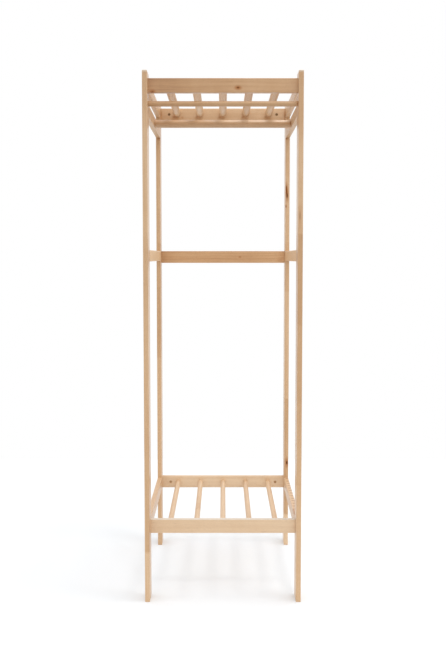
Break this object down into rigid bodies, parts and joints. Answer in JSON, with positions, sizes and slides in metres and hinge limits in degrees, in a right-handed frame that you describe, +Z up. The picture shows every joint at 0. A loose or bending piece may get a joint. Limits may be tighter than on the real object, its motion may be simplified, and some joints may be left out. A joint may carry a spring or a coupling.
{
  "type": "curtain wardrobe frame",
  "caption": "Open free-standing wardrobe frame in solid birch, with slatted top and bottom shelves, a clothes rod and a loose front rod for a curtain.",
  "frame": {"origin": "middle of the footprint at floor level", "axes": "+Z up along the posts, +X to the right seen from the front, front faces -Y"},
  "size_m": [0.505, 0.56, 1.7],
  "materials": {
    "birch": "clear matt lacquer on finger-jointed birch",
    "birch_turned": "clear matt lacquer on round birch stock",
    "beech": "plain fluted beech pins",
    "zinc_steel": "bright zinc plating"
  },
  "bodies": {
    "wardrobe_frame": {"post_front_left": "birch", "post_front_right": "birch", "post_rear_left": "birch", "post_rear_right": "birch", "top_front_rail": "birch", "top_rear_rail": "birch", "mid_rear_rail": "birch", "bottom_front_rail": "birch", "bottom_rear_rail": "birch", "upper_side_rail_left": "birch", "upper_side_rail_right": "birch", "rod_rail_left": "birch", "rod_rail_right": "birch", "mid_side_rail_left": "birch", "mid_side_rail_right": "birch", "bottom_side_rail_left": "birch", "bottom_side_rail_right": "birch", "top_shelf_bar_1": "birch_turned", "top_shelf_bar_2": "birch_turned", "top_shelf_bar_3": "birch_turned", "top_shelf_bar_4": "birch_turned", "top_shelf_bar_5": "birch_turned", "bottom_shelf_bar_1": "birch_turned", "bottom_shelf_bar_2": "birch_turned", "bottom_shelf_bar_3": "birch_turned", "bottom_shelf_bar_4": "birch_turned", "bottom_shelf_bar_5": "birch_turned", "clothes_rod": "birch_turned", "joint_bolts": "zinc_steel", "barrel_nuts": "zinc_steel", "rod_screws": "zinc_steel", "cross_rail_pins": "beech", "side_rail_pins": "beech"},
    "curtain_rod_body": {"curtain_rod": "birch_turned"}
  },
  "joints": [
    {"name": "curtain_rod_spin", "type": "hinge", "parent": "wardrobe_frame", "child": "curtain_rod_body", "pos_m": [0, -0.251, 1.6], "axis": [1, 0, 0], "continuous": true}
  ]
}
